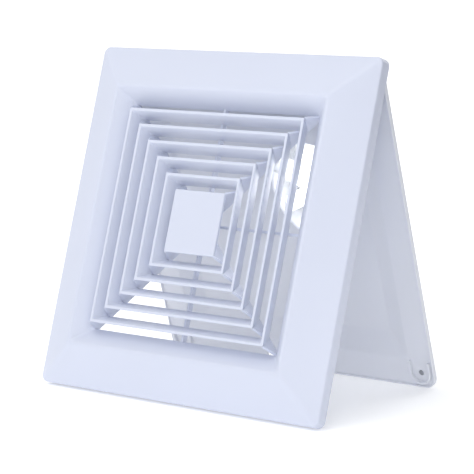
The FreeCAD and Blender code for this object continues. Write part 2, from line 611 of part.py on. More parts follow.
def motor_shell(name, outer_level, inner_level):
    """One half of the motor's case: a cup whose floor holds a bearing."""
    way = "1" if outer_level == motor_back else "-1"
    floor = f"({outer_level} + {way} * shell_wall)"
    seat = f"({outer_level} + {way} * bearing_length)"
    return turned(name, [
        ("bearing_radius", outer_level), ("motor_radius", outer_level), ("motor_radius", inner_level),
        ("motor_radius - shell_wall", inner_level), ("motor_radius - shell_wall", floor),
        ("bearing_radius + bearing_seat", floor), ("bearing_radius + bearing_seat", seat),
        ("bearing_radius", seat)])


def rear_shell():
    shell = motor_shell("rear_shell_cup", motor_back, motor_middle)
    holes = [rod(f"rear_shell_hole_{n}", x, y, f"{motor_back} - 1", f"{motor_back} + shell_wall + 1", "screw_radius")
             for n, (x, y) in enumerate(around("motor_screw_circle", arm_count, 60))]
    return cut("rear_shell_shape", shell, fused("rear_shell_holes", holes))


def stator_core():
    ring = tube("stator_ring", "rotor_radius + air_gap", "motor_radius - shell_wall",
                f"{motor_middle} - core_length / 2", f"{motor_middle} + core_length / 2")
    slots = [rod(f"stator_slot_{n}", x, y, f"{motor_middle} - core_length", f"{motor_middle} + core_length",
                 "coil_bar") for n, (x, y) in enumerate(around("coil_radius", slot_count))]
    return cut("stator_core_shape", ring, fused("stator_slots", slots))


def stator_winding():
    pieces = [rod(f"coil_bar_{n}", x, y, f"{motor_middle} - core_length / 2 - coil_overhang / 2",
                  f"{motor_middle} + core_length / 2 + coil_overhang / 2", "coil_bar")
              for n, (x, y) in enumerate(around("coil_radius", slot_count))]
    for tag, way in (("front", "1"), ("rear", "-1")):
        near = f"{motor_middle} + {way} * core_length / 2"
        pieces.append(tube(f"coil_{tag}", "coil_radius - coil_wall / 2", "coil_radius + coil_wall / 2", near,
                           f"{near} + {way} * coil_overhang"))
    return fused("stator_winding_shape", pieces)


def motor_bracket():
    ring_out = duct_bore
    pieces = [tube("bracket_ring", f"{ring_out} - spider_ring_wall", ring_out,
                   f"{spider_back} + spider_wall - spider_ring", f"{spider_back} + spider_wall"),
              tube("bracket_centre", "bearing_radius + bearing_seat", "motor_radius", spider_back, motor_back)]
    for n in range(arm_count):
        turn = math.radians(180 + 360 / arm_count * n)
        arm = doc.addObject("Part::Box", f"bracket_arm_{n}")
        arm.Placement.Rotation = Rotation(Vector(0, 0, 1), math.degrees(turn))
        start = "(motor_radius - 2)"
        across, along = f"{math.sin(turn):.9f}", f"{math.cos(turn):.9f}"
        pieces.append(bind(arm, Length=f"{ring_out} - spider_ring_wall / 2 - {start}", Width="arm_width",
                           Height="spider_wall", Placement__Base__z=spider_back,
                           Placement__Base__x=f"fan_x + {start} * {along} + arm_width / 2 * {across}",
                           Placement__Base__y=f"fan_y + {start} * {across} - arm_width / 2 * {along}"))
    holes = [rod(f"bracket_hole_{n}", x, y, f"{spider_back} - 1", f"{motor_back} + 1", "screw_radius + screw_gap")
             for n, (x, y) in enumerate(around("motor_screw_circle", arm_count, 60))]
    return cut("motor_bracket_shape", fused("bracket_solid", pieces), fused("bracket_holes", holes))


# ---- backdraught flaps ----

def flap(side):
    """A half disc with knuckles on the upright pin; -1 is the left one, 1 the right one."""
    tag = "left" if side < 0 else "right"
    reach = f"({duct_bore} - flap_clearance)"
    clear = "(flap_knuckle + flap_knuckle_gap)"
    if side > 0:
        half_start, web_start = f"(fan_x + {clear})", "fan_x"
    else:
        half_start, web_start = "(fan_x - duct_radius)", f"(fan_x - {clear})"
    disc = rod(f"flap_disc_{tag}", "fan_x", "fan_y", f"{flap_level} - flap_wall / 2",
               f"{flap_level} + flap_wall / 2", reach)
    room = block(f"flap_side_{tag}", half_start, f"{half_start} + duct_radius - {clear}", "fan_y - duct_radius",
                 "fan_y + duct_radius", f"{flap_level} - flap_wall", f"{flap_level} + flap_wall")
    half = common(f"flap_half_{tag}", disc, room)
    low = f"fan_y + {side} * (spring_length / 2 + flap_knuckle_gap)"
    high = f"fan_y + {side} * ({reach} - 3 * flap_knuckle_gap - flap_knuckle)"
    bottom, top = (low, high) if side > 0 else (high, low)
    knuckle = rod_along_y(f"flap_knuckle_{tag}", "fan_x", bottom, top, flap_level, "flap_knuckle")
    web = block(f"flap_web_{tag}", web_start, f"{web_start} + {clear}", bottom, top,
                f"{flap_level} - flap_wall / 2", f"{flap_level} + flap_wall / 2")
    bore = rod_along_y(f"flap_bore_{tag}", "fan_x", "fan_y - duct_radius", "fan_y + duct_radius", flap_level,
                       "flap_pin_radius + running_gap")
    return cut(f"flap_shape_{tag}", fused(f"flap_solid_{tag}", [half, web, knuckle]), bore)


def flap_pin():
    return rod_along_y("flap_pin_rod", "fan_x", f"fan_y - {duct_bore} - duct_wall * 0.75",
                       f"fan_y + {duct_bore} + duct_wall * 0.75", flap_level, "flap_pin_radius")


def flap_spring():
    coils = int(size["spring_length"] / (2.6 * size["spring_wire"]))
    rings = []
    for n in range(coils):
        ring = doc.addObject("Part::Torus", f"spring_turn_{n}")
        ring.Placement.Rotation = Rotation(Vector(1, 0, 0), 90)
        rings.append(bind(ring, Radius1="flap_pin_radius + spring_wire", Radius2="spring_wire", Placement__Base__x="fan_x",
                          Placement__Base__y=f"fan_y + ({n} - {(coils - 1) / 2}) * spring_wire * 1.8",
                          Placement__Base__z=flap_level))
    return fused("flap_spring_shape", rings)


# ---- terminal box ----

def box_screw_places():
    return [(f"(({box_left} + {block_left}) / 2)", "fan_y"),
            (f"({box_right} - block_gap)", f"({box_low} + box_height / 2 - 3)")]


def lid_screw_places():
    return [(f"({x})", f"({y})") for x in (f"{box_left} + lid_post_inset", f"{box_right} - lid_post_inset")
            for y in (f"{box_low} + lid_post_inset", f"{box_high} - lid_post_inset")]


def terminal_box():
    outside = block("box_outside", box_left, box_right, box_low, box_high, box_back, back_level)
    room = block("box_room", f"{box_left} + box_wall", f"{box_right} - box_wall", f"{box_low} + box_wall",
                 f"{box_high} - box_wall", f"{box_back} - 1", box_floor)
    solids = [cut("box_walls", outside, room),
              block("clamp_saddle", f"{clamp_x} - clamp_width / 2", f"{clamp_x} + clamp_width / 2",
                    f"{entry_y} - clamp_length / 2", f"{entry_y} + clamp_length / 2", saddle_level, box_floor)]
    cuts = []
    for n, (x, y) in enumerate(lid_screw_places()):
        solids.append(rod(f"lid_post_{n}", x, y, box_back, box_floor, "lid_post"))
        cuts.append(rod(f"lid_post_hole_{n}", x, y, f"{box_back} - 1", f"{box_back} + 8", "screw_radius"))
    for n, (x, y) in enumerate(box_screw_places()):
        cuts.append(rod(f"box_screw_hole_{n}", x, y, f"{box_floor} - 1", f"{back_level} + 1",
                        "screw_radius + screw_gap"))
    for n, (x, y) in enumerate(clamp_screw_places()):
        cuts.append(rod(f"saddle_hole_{n}", x, y, f"{saddle_level} - 1", f"{saddle_level} + 5", "screw_radius"))
    cuts.append(rod_along_x("entry_hole", f"{box_left} - 1", f"{box_left} + box_wall + 1", entry_y, entry_z,
                            "grommet_radius"))
    cuts.append(rod_along_x("lead_hole_box", f"{box_right} - box_wall - 1", f"{box_right} + 1", "fan_y",
                            lead_level, "lead_radius + screw_gap"))
    return cut("terminal_box_shape", fused("box_solid", solids), fused("box_cuts", cuts))


def terminal_lid():
    body = doc.addObject("PartDesign::Body", "terminal_lid_body")
    corners = [(box_left, box_low), (box_right, box_low), (box_right, box_high), (box_left, box_high)]
    pad = body.newObject("PartDesign::Pad", "terminal_lid_pad")
    pad.Profile = outline(body, "terminal_lid_outline", "XY_Plane", corners, f"{box_back} - box_wall")
    bind(pad, Length="box_wall")
    doc.recompute()
    holes = [rod(f"lid_hole_{n}", x, y, f"{box_back} - box_wall - 1", f"{box_back} + 1",
                 "screw_radius + screw_gap") for n, (x, y) in enumerate(lid_screw_places())]
    return cut("terminal_lid_shape", body, fused("lid_holes", holes))


def terminal_places():
    middle = f"({block_left} + block_width / 2)"
    return [(f"({middle} + {n} * terminal_spacing)", f"(fan_y + {way} * block_height * 0.27)")
            for n in (-1, 0, 1) for way in (-1, 1)]


def terminal_block():
    base = block("terminal_block_base", block_left, block_right, "fan_y - block_height / 2",
                 "fan_y + block_height / 2", f"{box_floor} - block_depth", box_floor)
    holes = []
    for n, (x, y) in enumerate(terminal_places()):
        holes.append(rod(f"terminal_well_{n}", x, y, f"{box_floor} - block_depth - 1",
                         f"{box_floor} - block_depth + terminal_hole_depth", "terminal_hole"))
    return cut("terminal_block_shape", base, fused("terminal_holes", holes))


def terminal_screws():
    return gathered("terminal_screws_set", [
        cut(f"terminal_screw_{n}",
            rod(f"terminal_screw_rod_{n}", x, y, f"{box_floor} - block_depth + terminal_screw_depth",
                f"{box_floor} - block_depth + terminal_hole_depth", "terminal_hole"),
            block(f"terminal_slot_{n}", f"{x} - 3", f"{x} + 3", f"{y} - 0.4", f"{y} + 0.4",
                  f"{box_floor} - block_depth", f"{box_floor} - block_depth + 2.8"))
        for n, (x, y) in enumerate(terminal_places())])


def cable_grommet():
    left, wall = box_left, "grommet_wall"
    solids = [rod_along_x("grommet_outer_flange", f"{left} - {wall}", left, entry_y, entry_z, "grommet_flange"),
              rod_along_x("grommet_neck", left, f"{left} + box_wall", entry_y, entry_z, "grommet_radius"),
              rod_along_x("grommet_inner_flange", f"{left} + box_wall", f"{left} + box_wall + {wall}", entry_y,
                          entry_z, "grommet_flange")]
    return cut("cable_grommet_shape", fused("grommet_solid", solids),
               rod_along_x("grommet_bore", f"{left} - 2 * {wall}", f"{left} + box_wall + 2 * {wall}", entry_y,
                           entry_z, "entry_radius"))


def clamp_screw_places():
    return [(clamp_x, f"({entry_y} + {way} * (clamp_length / 2 - clamp_screw_inset))") for way in (-1, 1)]


def cable_clamp():
    top = f"({entry_z} - entry_radius)"
    bridge = block("clamp_bridge", f"{clamp_x} - clamp_width / 2", f"{clamp_x} + clamp_width / 2",
                   f"{entry_y} - clamp_length / 2", f"{entry_y} + clamp_length / 2", f"{top} - clamp_wall",
                   saddle_level)
    cuts = [rod_along_x("clamp_room", f"{clamp_x} - clamp_width", f"{clamp_x} + clamp_width", entry_y, entry_z,
                        "entry_radius"),
            block("clamp_mouth", f"{clamp_x} - clamp_width", f"{clamp_x} + clamp_width",
                  f"{entry_y} - entry_radius", f"{entry_y} + entry_radius", entry_z, f"{saddle_level} + 1")]
    cuts += [rod(f"clamp_hole_{n}", x, y, f"{top} - clamp_wall - 1", f"{saddle_level} + 1",
                 "screw_radius + screw_gap") for n, (x, y) in enumerate(clamp_screw_places())]
    return cut("cable_clamp_shape", bridge, fused("clamp_cuts", cuts))


def run_capacitor():
    y = f"({box_low} + box_wall + capacitor_rise)"
    return rod_along_x("capacitor_can", f"{box_right} - capacitor_gap - capacitor_length", f"{box_right} - capacitor_gap", y,
                       f"{box_floor} - capacitor_radius", "capacitor_radius")


def motor_lead():
    return rod_along_x("motor_lead_rod", block_right, "fan_x - motor_radius", "fan_y", lead_level, "lead_radius")


# ---- every sub-part, with its name ----

cover_part("cover_frame", cover_frame())
cover_part("louvre_core", louvre_core())
plate_part("back_plate", back_plate())
plate_part("hinge_pins", hinge_pins())
plate_part("duct_spigot", duct_spigot())
plate_part("spigot_seal", spigot_seal())
plate_part("spigot_screws", screws("spigot_screw", around(ear_circle, 4, 45),
                                   f"{back_level} - seal_wall - collar_wall", "-recess_depth - screw_short"))
plate_part("motor_bracket", motor_bracket())
plate_part("motor_screws", screws("motor_screw", around("motor_screw_circle", arm_count, 60), spider_back,
                                  f"{motor_back} + shell_wall"))
plate_part("motor_front_shell", motor_shell("front_shell_cup", motor_front, motor_middle))
plate_part("motor_rear_shell", rear_shell())
plate_part("front_bearing", tube("front_bearing_ring", "shaft_radius + running_gap", "bearing_radius",
                                 f"{motor_front} - bearing_length", motor_front))
plate_part("rear_bearing", tube("rear_bearing_ring", "shaft_radius + running_gap", "bearing_radius", motor_back,
                                f"{motor_back} + bearing_length"))
plate_part("stator_core", stator_core())
plate_part("stator_winding", stator_winding())
plate_part("rotor_core", tube("rotor_ring", "shaft_radius", "rotor_radius", f"{motor_middle} - core_length / 2",
                              f"{motor_middle} + core_length / 2"))
plate_part("motor_shaft", rod("shaft_rod", "fan_x", "fan_y", f"{motor_back} + shaft_short",
                              "-blade_front + nut_height + shaft_past_nut", "shaft_radius"))
plate_part("impeller", impeller())
plate_part("impeller_nut", impeller_nut())
plate_part("flap_left", flap(-1))
plate_part("flap_right", flap(1))
plate_part("flap_pin", flap_pin())
plate_part("flap_spring", flap_spring())
plate_part("terminal_box", terminal_box())
plate_part("terminal_box_screws", screws("box_screw", box_screw_places(), box_floor, "-recess_depth - screw_short"))
plate_part("terminal_lid", terminal_lid())
plate_part("terminal_lid_screws", screws("lid_screw", lid_screw_places(), f"{box_back} - box_wall",
                                         f"{box_back} + lid_screw_grip"))
plate_part("terminal_block", terminal_block())
plate_part("terminal_screws", terminal_screws())
plate_part("cable_grommet", cable_grommet())
plate_part("cable_clamp", cable_clamp())
plate_part("cable_clamp_screws", screws("clamp_screw", clamp_screw_places(),
                                        f"({entry_z} - entry_radius - clamp_wall)", f"{saddle_level} + clamp_screw_grip"))
plate_part("run_capacitor", run_capacitor())
plate_part("motor_lead", motor_lead())


# ---- standing pose ----

def lean_angles():
    """Lean of the cover and of the plate so that both lower edges are on the floor."""
    up_cover = size["cover_side"] - size["hinge_inset"]
    back_cover = size["cover_skirt"] - size["hinge_level"]
    up_plate = up_cover - size["cover_wall"] - size["plate_gap"]
    front_plate = size["lip_height"] - size["hinge_play"]
    opened = math.radians(size["open_angle"])
    cover_lean = math.atan2(up_cover - up_plate * math.cos(opened) - front_plate * math.sin(opened),
                            up_plate * math.sin(opened) - front_plate * math.cos(opened) - back_cover)
    return cover_lean, opened - cover_lean


def panel_placement(lean, hinge_y, hinge_z, shift):
    """A panel leaning back by an angle, its hinge axis at shift on the world's Y."""
    turn = Rotation(Vector(1, 0, 0), 90 - math.degrees(lean))
    hinge = turn.multVec(Vector(0, hinge_y, hinge_z))
    return Placement(Vector(0, shift - hinge.y, hinge_height() - hinge.z), turn)


def hinge_height():
    cover_lean = lean_angles()[0]
    return ((size["cover_side"] - size["hinge_inset"]) * math.cos(cover_lean)
            + (size["cover_skirt"] - size["hinge_level"]) * math.sin(cover_lean))


def panel_placements(shift):
    cover_lean, plate_lean = lean_angles()
    up_cover = size["cover_side"] - size["hinge_inset"]
    up_plate = up_cover - size["cover_wall"] - size["plate_gap"]
    return {"cover": panel_placement(cover_lean, up_cover, -size["hinge_level"], shift),
            "plate": panel_placement(-plate_lean, up_plate, size["hinge_play"], shift)}


def stand_up():
    """Place every sub-part; the origin is at the bottom middle of the whole object."""
    doc.recompute()
    own = {label: thing.Placement for label, (thing, panel) in nodes.items()}
    at_hinge = panel_placements(0)
    low, high = math.inf, -math.inf
    for label, (thing, panel) in nodes.items():
        shape = thing.Shape.copy()
        shape.Placement = at_hinge[panel] * shape.Placement
        box = shape.optimalBoundingBox()
        low, high = min(low, box.YMin), max(high, box.YMax)
    final = panel_placements(-(low + high) / 2)
    for label, (thing, panel) in nodes.items():
        for name in ("Placement.Base.x", "Placement.Base.y", "Placement.Base.z"):
            thing.setExpression(name, None)
        thing.Placement = final[panel] * own[label]
    doc.recompute()
    return final


def check_and_write():
    for thing in doc.Objects:
        if {"Invalid", "Error"} & set(thing.State):
            raise RuntimeError(f"{thing.Name} is {thing.State}")
    for label, (thing, panel) in nodes.items():
        if thing.Shape.isNull() or not thing.Shape.isValid():
            raise RuntimeError(f"{label} has no valid shape")
    os.makedirs("parts", exist_ok=True)
    for label, (thing, panel) in nodes.items():
        thing.Shape.exportStep(f"parts/{label}.step")
        print(f"{label}: {thing.Shape.Volume:.0f} mm3 in {len(thing.Shape.Solids)} solids")


placements = stand_up()
check_and_write()
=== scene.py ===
import json
import math

import bmesh
import bpy
from mathutils import Matrix, Vector


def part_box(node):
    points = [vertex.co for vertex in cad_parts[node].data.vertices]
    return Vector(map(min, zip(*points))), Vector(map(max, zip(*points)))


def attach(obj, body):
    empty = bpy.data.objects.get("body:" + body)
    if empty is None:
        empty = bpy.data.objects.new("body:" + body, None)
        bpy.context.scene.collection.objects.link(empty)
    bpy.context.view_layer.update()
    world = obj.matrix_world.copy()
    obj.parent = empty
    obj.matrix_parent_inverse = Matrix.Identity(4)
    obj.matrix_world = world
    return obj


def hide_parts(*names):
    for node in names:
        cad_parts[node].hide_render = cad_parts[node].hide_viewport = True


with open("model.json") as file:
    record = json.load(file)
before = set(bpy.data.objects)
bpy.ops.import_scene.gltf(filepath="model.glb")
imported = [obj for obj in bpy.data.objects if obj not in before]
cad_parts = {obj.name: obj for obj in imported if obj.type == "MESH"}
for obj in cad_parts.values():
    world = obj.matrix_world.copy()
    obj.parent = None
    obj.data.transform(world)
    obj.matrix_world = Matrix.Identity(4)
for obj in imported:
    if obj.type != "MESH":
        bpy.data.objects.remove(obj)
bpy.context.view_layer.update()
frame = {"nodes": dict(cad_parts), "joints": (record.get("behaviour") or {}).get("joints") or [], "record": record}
print("stage: frame loaded")

mm = 0.001


# where the two panels stand: x along the hinge, y up the panel, z towards the room

def namedItem(items, name):
    return next(item for item in items if item["name"] == name)


panelPlaces = {
    "hingeInset": 10.0,      # cover's top edge to the hinge axis
    "hingeLevel": 6.5,       # hinge axis behind the skirt's front
    "hingePlay": 1.0,        # hinge axis in front of the plate's flange
    "panelGap": 4.0,         # cover's edge to the plate's edge
}

coverLow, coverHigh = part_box("cover_frame")
coverSide = round((coverHigh.x - coverLow.x) / mm, 3)
plateSide = coverSide - 2 * panelPlaces["panelGap"]
hinge = namedItem(frame["joints"], "cover_hinge")
hingePoint = Vector(hinge["pos_m"])
openAngle = math.radians(-hinge["range_deg"][0])
plateOut = -Vector(namedItem(frame["record"]["mounts"], "wall_fixings")["axis"])
coverOut = Matrix.Rotation(-openAngle, 3, "X") @ plateOut


def panelMatrix(out, hingeUp, hingeOut):
    right = Vector((1, 0, 0))
    up = out.cross(right)
    origin = hingePoint - up * hingeUp * mm - out * hingeOut * mm
    turn = Matrix((right, up, out)).transposed().to_4x4()
    return Matrix.Translation(origin) @ turn @ Matrix.Scale(mm, 4)


coverHinge = coverSide - panelPlaces["hingeInset"]
coverMatrix = panelMatrix(coverOut, coverHinge, -panelPlaces["hingeLevel"])
plateMatrix = panelMatrix(plateOut, coverHinge - panelPlaces["panelGap"], panelPlaces["hingePlay"])


# mesh helpers, in millimetres of a panel's own frame

# a rounded square as a loop of points, from the middle of its right side
def squareLoop(half, level, corner, centre, steps=6):
    points = []
    inner = half - corner
    for quarter in range(4):
        turn = math.pi / 2 * quarter
        middle = Vector((math.cos(turn), math.sin(turn)))
        side = Vector((-math.sin(turn), math.cos(turn)))
        points.append(middle * half)
        points.append(middle * half + side * inner * 0.5)
        for step in range(steps + 1):
            angle = turn + math.pi / 2 * step / steps
            arc = Vector((math.cos(angle), math.sin(angle))) * corner
            points.append((middle + side) * inner + arc)
        points.append(side * half + middle * inner * 0.5)
    return [Vector((centre[0] + p.x, centre[1] + p.y, level)) for p in points]


# a circle with as many points as a rounded square, at matching angles
def circleLoop(radius, level, centre, steps=6, softness=0.35):
    shape = squareLoop(1.0, level, softness, (0, 0), steps)
    return [Vector((centre[0] + radius * p.x / math.hypot(p.x, p.y),
                    centre[1] + radius * p.y / math.hypot(p.x, p.y), level)) for p in shape]


# replace each (radius, level, fillet, corner) of a closed profile by a small arc
def roundedProfile(corners, steps=3, mostOfEdge=0.45):
    result = []
    count = len(corners)
    for index, (half, level, fillet, corner) in enumerate(corners):
        here = Vector((half, level))
        before = Vector(corners[index - 1][:2])
        after = Vector(corners[(index + 1) % count][:2])
        if fillet <= 0:
            result.append((half, level, corner))
            continue
        start = here + (before - here).normalized() * min(fillet, (before - here).length * mostOfEdge)
        end = here + (after - here).normalized() * min(fillet, (after - here).length * mostOfEdge)
        for step in range(steps + 1):
            t = step / steps
            point = start * (1 - t) ** 2 + here * 2 * t * (1 - t) + end * t ** 2
            result.append((point.x, point.y, corner))
    return result


def skin(mesh, loops, closed=True):  # join loops of equal length with quads
    rows = [[mesh.verts.new(point) for point in loop] for loop in loops]
    pairs = list(zip(rows, rows[1:]))
    if closed:
        pairs.append((rows[-1], rows[0]))
    for first, second in pairs:
        count = len(first)
        for n in range(count):
            mesh.faces.new((first[n], first[(n + 1) % count], second[(n + 1) % count], second[n]))
    return rows


def sweptFrame(mesh, corners, centre):
    skin(mesh, [squareLoop(half, level, corner, centre)
                for half, level, corner in roundedProfile(corners)])


# a plate of the given outline (x, z), depth thick along y, moved by a matrix
def prism(mesh, outline, depth, place):
    near, far = [[mesh.verts.new(place @ Vector((x, way * depth / 2, z))) for x, z in outline]
                 for way in (-1, 1)]
    count = len(outline)
    mesh.faces.new(near)
    mesh.faces.new(list(reversed(far)))
    for n in range(count):
        mesh.faces.new((near[(n + 1) % count], near[n], far[n], far[(n + 1) % count]))


def blockAt(mesh, low, high):
    bmesh.ops.create_cube(mesh, size=1, matrix=Matrix.Translation((Vector(low) + Vector(high)) / 2)
                          @ Matrix.Diagonal((*(Vector(high) - Vector(low)), 1)))


# a closed (radius, height) profile turned about the local z axis
def tubeAlong(mesh, profile, place, steps=32):
    skin(mesh, [[place @ Vector((radius * math.cos(2 * math.pi * n / steps),
                                 radius * math.sin(2 * math.pi * n / steps), height))
                 for n in range(steps)] for radius, height in profile])


# a bored block between two places along the hinge
def skinBetween(mesh, ends, y, level, outer, inner):
    skin(mesh, [[Vector((end, y + a, level + b)) for a, b in outline] for end, outline in (
        (ends[0], inner), (ends[0], outer), (ends[1], outer), (ends[1], inner))])


def finishedPiece(name, mesh, matrix, body, material, nodes):
    bmesh.ops.recalc_face_normals(mesh, faces=mesh.faces)
    data = bpy.data.meshes.new(name)
    mesh.to_mesh(data)
    mesh.free()
    data.transform(matrix)
    piece = bpy.data.objects.new(name, data)
    bpy.context.scene.collection.objects.link(piece)
    data.materials.append(material)
    smoothPiece(piece)
    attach(piece, body)
    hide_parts(*nodes)
    return piece


def smoothPiece(piece, angle=32):
    data = piece.data
    data.shade_smooth()
    data.set_sharp_from_angle(angle=math.radians(angle))


def bakedCut(piece, cutterMesh, matrix):  # take a cutter out of a piece and keep only the result
    bmesh.ops.recalc_face_normals(cutterMesh, faces=cutterMesh.faces)
    data = bpy.data.meshes.new("cutter")
    cutterMesh.to_mesh(data)
    cutterMesh.free()
    data.transform(matrix)
    cutter = bpy.data.objects.new("cutter", data)
    bpy.context.scene.collection.objects.link(cutter)
    modifier = piece.modifiers.new("cut", "BOOLEAN")
    modifier.operation, modifier.solver, modifier.object = "DIFFERENCE", "EXACT", cutter
    modifier.use_self = True
    evaluated = piece.evaluated_get(bpy.context.evaluated_depsgraph_get())
    result = bpy.data.meshes.new_from_object(evaluated)
    piece.modifiers.clear()
    old = piece.data
    piece.data = result
    bpy.data.meshes.remove(old)
    bpy.data.objects.remove(cutter)
    smoothPiece(piece)


# materials

def newMaterial(name):
    material = bpy.data.materials.new(name)
    material.use_nodes = True
    tree = material.node_tree
    return material, tree, tree.nodes["Principled BSDF"]


def addNode(tree, kind, settings=None, **inputs):
    node = tree.nodes.new(kind)
    for key, value in (settings or {}).items():
        setattr(node, key, value)
    for key, value in inputs.items():
        node.inputs[key.replace("_", " ")].default_value = value
    return node


def noiseField(tree, scale, detail, stretch=(1, 1, 1)):
    coordinates = addNode(tree, "ShaderNodeTexCoord")
    mapping = addNode(tree, "ShaderNodeMapping")
    mapping.inputs["Scale"].default_value = stretch
    noise = addNode(tree, "ShaderNodeTexNoise", Scale=scale, Detail=detail)
    tree.links.new(coordinates.outputs["Object"], mapping.inputs["Vector"])
    tree.links.new(mapping.outputs["Vector"], noise.inputs["Vector"])
    return noise


def rampBetween(tree, source, low, high, start=0.3, end=0.7):
    ramp = addNode(tree, "ShaderNodeValToRGB")
    ramp.color_ramp.elements[0].position, ramp.color_ramp.elements[0].color = start, low
    ramp.color_ramp.elements[1].position, ramp.color_ramp.elements[1].color = end, high
    tree.links.new(source, ramp.inputs["Fac"])
    return ramp


def grey(value):
    return (value, value, value, 1)


def tinted(color, factor):
    return tuple(channel * factor for channel in color) + (1,)


def bumpFrom(tree, shader, sources):  # chain bumps, each (height socket, strength, distance in metres)
    last = None
    for height, strength, distance in sources:
        bump = addNode(tree, "ShaderNodeBump", Strength=strength, Distance=distance)
        tree.links.new(height, bump.inputs["Height"])
        if last:
            tree.links.new(last.outputs["Normal"], bump.inputs["Normal"])
        last = bump
    tree.links.new(last.outputs["Normal"], shader.inputs["Normal"])


plasticDetail = {
    "cloudDetail": 3, "edgeFrom": 0.505, "edgeTo": 0.56, "patchScale": 4, "patchDetail": 4,
    "glossLow": 0.85, "glossHigh": 1.15, "grainDetail": 2, "grainHeight": 0.00002,
    "waveDetail": 1, "waveStrength": 0.35, "ior": 1.5,
    "scatter": (0.004, 0.004, 0.005), "scatterScale": 0.5,
}
metalDetail = {
    "tarnishDetail": 5, "dull": 0.82, "bright": 1.06, "lineDetail": 2, "glossLow": 0.7, "glossHigh": 1.3,
    "lineStrength": 0.3, "lineHeight": 0.00001,
}
foamDetail = {"cloudScale": 120, "cloudDetail": 4, "dull": 0.75, "bright": 1.3, "poreHeight": 0.0002}
bandDetail = {"dull": 0.6, "bright": 1.15, "strength": 0.6, "height": 0.0001, "metallic": 0.9}


# moulded plastic: faint cloudiness, fine grain, slow flow waves and convex edges painted lighter as a painted
# highlight
def plasticMaterial(name, look):
    detail = plasticDetail
    material, tree, shader = newMaterial(name)
    cloud = noiseField(tree, look["cloudScale"], detail["cloudDetail"])
    base = rampBetween(tree, cloud.outputs["Fac"], tinted(look["color"], 1 - look["cloud"]),
                       tinted(look["color"], 1 + look["cloud"]))
    # painted highlight: convex edges, found by pointiness, get a lighter base colour
    edge = addNode(tree, "ShaderNodeNewGeometry")
    edgeMask = rampBetween(tree, edge.outputs["Pointiness"], grey(0), grey(1),
                           detail["edgeFrom"], detail["edgeTo"])
    edgeHighlight = addNode(tree, "ShaderNodeMix", {"data_type": "RGBA"})
    edgeHighlight.inputs["B"].default_value = tinted(look["color"], 1 + look["edge"])
    tree.links.new(edgeMask.outputs["Color"], edgeHighlight.inputs["Factor"])
    tree.links.new(base.outputs["Color"], edgeHighlight.inputs["A"])
    tree.links.new(edgeHighlight.outputs["Result"], shader.inputs["Base Color"])
    patch = noiseField(tree, look["cloudScale"] * detail["patchScale"], detail["patchDetail"])
    gloss = rampBetween(tree, patch.outputs["Fac"], grey(look["roughness"] * detail["glossLow"]),
                        grey(look["roughness"] * detail["glossHigh"]))
    tree.links.new(gloss.outputs["Color"], shader.inputs["Roughness"])
    grain = noiseField(tree, look["grainScale"], detail["grainDetail"])
    wave = noiseField(tree, look["waveScale"], detail["waveDetail"])
    bumpFrom(tree, shader, [(wave.outputs["Fac"], detail["waveStrength"], look["waveHeight"]),
                            (grain.outputs["Fac"], look["grain"], detail["grainHeight"])])
    shader.inputs["IOR"].default_value = detail["ior"]
    shader.inputs["Subsurface Weight"].default_value = look["glow"]
    shader.inputs["Subsurface Radius"].default_value = detail["scatter"]
    shader.inputs["Subsurface Scale"].default_value = detail["scatterScale"]
    shader.inputs["Transmission Weight"].default_value = look.get("clear", 0)
    return material


def metalMaterial(name, look):  # metal with drawn or turned lines and a little tarnish
    detail = metalDetail
    material, tree, shader = newMaterial(name)
    tarnish = noiseField(tree, look["tarnishScale"], detail["tarnishDetail"])
    base = rampBetween(tree, tarnish.outputs["Fac"], tinted(look["color"], detail["dull"]),
                       tinted(look["color"], detail["bright"]))
    tree.links.new(base.outputs["Color"], shader.inputs["Base Color"])
    lines = noiseField(tree, look["lineScale"], detail["lineDetail"], look["stretch"])
    gloss = rampBetween(tree, lines.outputs["Fac"], grey(look["roughness"] * detail["glossLow"]),
                        grey(look["roughness"] * detail["glossHigh"]))
    tree.links.new(gloss.outputs["Color"], shader.inputs["Roughness"])
    bumpFrom(tree, shader, [(lines.outputs["Fac"], detail["lineStrength"], detail["lineHeight"])])
    shader.inputs["Metallic"].default_value = 1
    return material


def foamMaterial(name, look):  # closed-cell foam or rubber: pores from a cell pattern over a soft base
    detail = foamDetail
    material, tree, shader = newMaterial(name)
    cloud = noiseField(tree, detail["cloudScale"], detail["cloudDetail"])
    base = rampBetween(tree, cloud.outputs["Fac"], tinted(look["color"], detail["dull"]),
                       tinted(look["color"], detail["bright"]))
    tree.links.new(base.outputs["Color"], shader.inputs["Base Color"])
    coordinates = addNode(tree, "ShaderNodeTexCoord")
    cells = addNode(tree, "ShaderNodeTexVoronoi", Scale=look["cellScale"])
    tree.links.new(coordinates.outputs["Object"], cells.inputs["Vector"])
    bumpFrom(tree, shader, [(cells.outputs["Distance"], look["bump"], detail["poreHeight"])])
    shader.inputs["Roughness"].default_value = look["roughness"]
    return material


def bandedMaterial(name, look):  # stacked laminations or laid wire: fine bands across the fan's axis
    detail = bandDetail
    material, tree, shader = newMaterial(name)
    coordinates = addNode(tree, "ShaderNodeTexCoord")
    mapping = addNode(tree, "ShaderNodeMapping")
    mapping.inputs["Rotation"].default_value = (math.atan2(plateOut.z, -plateOut.y), 0, 0)
    waves = addNode(tree, "ShaderNodeTexWave", {"wave_type": "BANDS", "bands_direction": look["direction"]},
                    Scale=look["bandScale"], Distortion=look["distortion"])
    tree.links.new(coordinates.outputs["Object"], mapping.inputs["Vector"])
    tree.links.new(mapping.outputs["Vector"], waves.inputs["Vector"])
    base = rampBetween(tree, waves.outputs["Fac"], tinted(look["color"], detail["dull"]),
                       tinted(look["color"], detail["bright"]))
    tree.links.new(base.outputs["Color"], shader.inputs["Base Color"])
    bumpFrom(tree, shader, [(waves.outputs["Fac"], detail["strength"], detail["height"])])
    shader.inputs["Metallic"].default_value = detail["metallic"]
    shader.inputs["Roughness"].default_value = look["roughness"]
    return material


